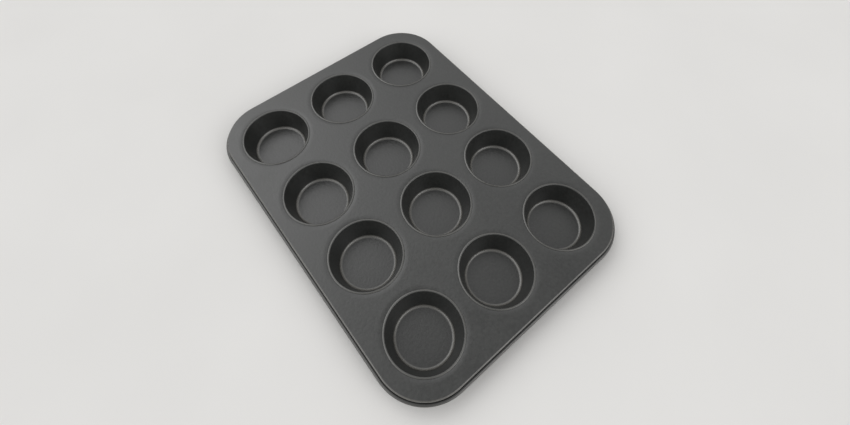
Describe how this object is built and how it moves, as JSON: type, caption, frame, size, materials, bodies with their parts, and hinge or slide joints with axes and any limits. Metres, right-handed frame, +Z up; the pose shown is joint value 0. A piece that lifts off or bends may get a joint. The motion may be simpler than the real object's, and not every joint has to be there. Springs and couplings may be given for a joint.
{
  "type": "muffin tin",
  "caption": "Rectangular baking tray with a grid of shallow tapered cups seamed into a sheet-metal frame with rounded corners and a wire-reinforced rolled rim, for baking muffins.",
  "frame": {"origin": "on the surface that the tin stands on, the plane of the cups' bases, under the middle of the frame", "axes": "+X along the long side, +Y along the short side, +Z up, out of the cups"},
  "size_m": [0.35, 0.265, 0.023],
  "materials": {
    "non_stick_frame": "semi-gloss dark grey non-stick coating on steel sheet, fine-grained",
    "non_stick_cup": "semi-gloss dark grey non-stick coating on drawn steel sheet, fine-grained",
    "wire_steel": "bare drawn steel wire, dull"
  },
  "bodies": {
    "root": {"tray_frame": "non_stick_frame", "cup_r1_c1": "non_stick_cup", "cup_r1_c2": "non_stick_cup", "cup_r1_c3": "non_stick_cup", "cup_r2_c1": "non_stick_cup", "cup_r2_c2": "non_stick_cup", "cup_r2_c3": "non_stick_cup", "cup_r3_c1": "non_stick_cup", "cup_r3_c2": "non_stick_cup", "cup_r3_c3": "non_stick_cup", "cup_r4_c1": "non_stick_cup", "cup_r4_c2": "non_stick_cup", "cup_r4_c3": "non_stick_cup", "rim_wire": "wire_steel"}
  },
  "joints": []
}
